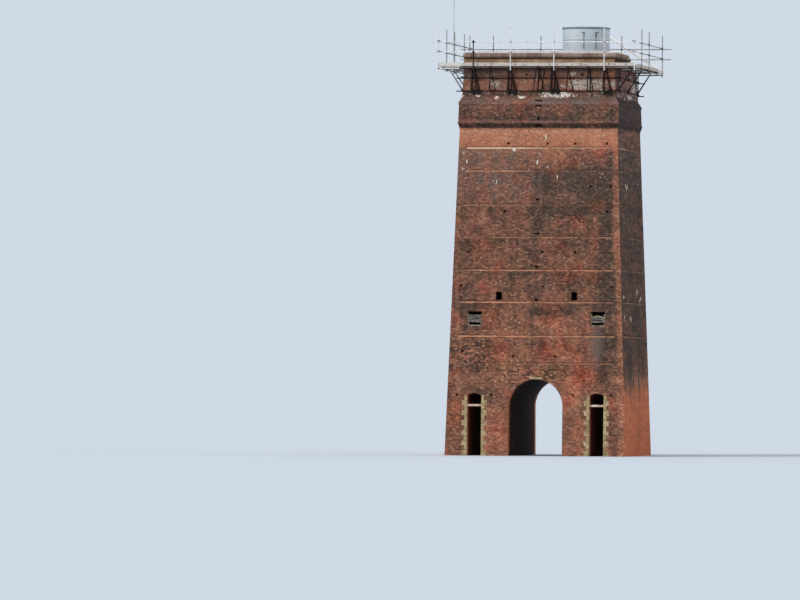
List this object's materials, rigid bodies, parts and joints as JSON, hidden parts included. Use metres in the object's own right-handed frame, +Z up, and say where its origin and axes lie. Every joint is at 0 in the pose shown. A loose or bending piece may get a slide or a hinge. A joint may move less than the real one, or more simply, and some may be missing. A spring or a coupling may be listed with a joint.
{
  "type": "lime kiln",
  "caption": "Ruined lime kiln: a tall tapering square tower of red brick with a tunnel through its base, a corbelled band, a rounded coping and a tube scaffold clamped round its head.",
  "frame": {"origin": "middle of the tower's square foot, at ground level", "axes": "+Z up, front face with the tunnel arch towards -Y, right face towards +X"},
  "size_m": [9.72, 9.72, 20.6],
  "materials": {
    "red_brick": "weathered red brick with soot and lime stains",
    "coping_brick": "weathered moulded brick",
    "buff_brick": "buff brick",
    "fire_brick": "burnt firebrick",
    "floor_brick": "dirty brick paving",
    "rusty_iron": "weathered iron",
    "plate_iron": "grey rusty cast iron plate",
    "drum_steel": "pale grey weathered steel",
    "deck_boards": "bleached softwood boards",
    "scaffold_tube": "galvanised steel tube",
    "white_pole": "white plastic"
  },
  "bodies": {
    "root": {"left_base_wall": "red_brick", "right_base_wall": "red_brick", "left_tunnel_pier": "red_brick", "right_tunnel_pier": "red_brick", "left_passage_cover": "red_brick", "right_passage_cover": "red_brick", "tunnel_vault": "red_brick", "front_arch_ring": "red_brick", "back_arch_ring": "red_brick", "front_wall": "red_brick", "right_wall": "red_brick", "back_wall": "red_brick", "left_wall": "red_brick", "front_band": "red_brick", "right_band": "red_brick", "back_band": "red_brick", "left_band": "red_brick", "front_neck": "red_brick", "right_neck": "red_brick", "back_neck": "red_brick", "left_neck": "red_brick", "front_coping": "coping_brick", "right_coping": "coping_brick", "back_coping": "coping_brick", "left_coping": "coping_brick", "front_draw_surrounds": "buff_brick", "back_draw_surrounds": "buff_brick", "front_firing_frames": "buff_brick", "back_firing_frames": "buff_brick", "left_shaft_lining": "fire_brick", "right_shaft_lining": "fire_brick", "charging_floor": "floor_brick", "draw_bars": "rusty_iron", "front_firing_plates": "plate_iron", "back_firing_plates": "plate_iron", "charging_drum": "drum_steel", "front_deck": "deck_boards", "right_deck": "deck_boards", "back_deck": "deck_boards", "left_deck": "deck_boards", "front_brackets": "scaffold_tube", "right_brackets": "scaffold_tube", "back_brackets": "scaffold_tube", "left_brackets": "scaffold_tube", "front_guard_rail": "scaffold_tube", "right_guard_rail": "scaffold_tube", "back_guard_rail": "scaffold_tube", "left_guard_rail": "scaffold_tube", "tall_pole": "scaffold_tube", "raking_pole": "white_pole"}
  },
  "joints": []
}
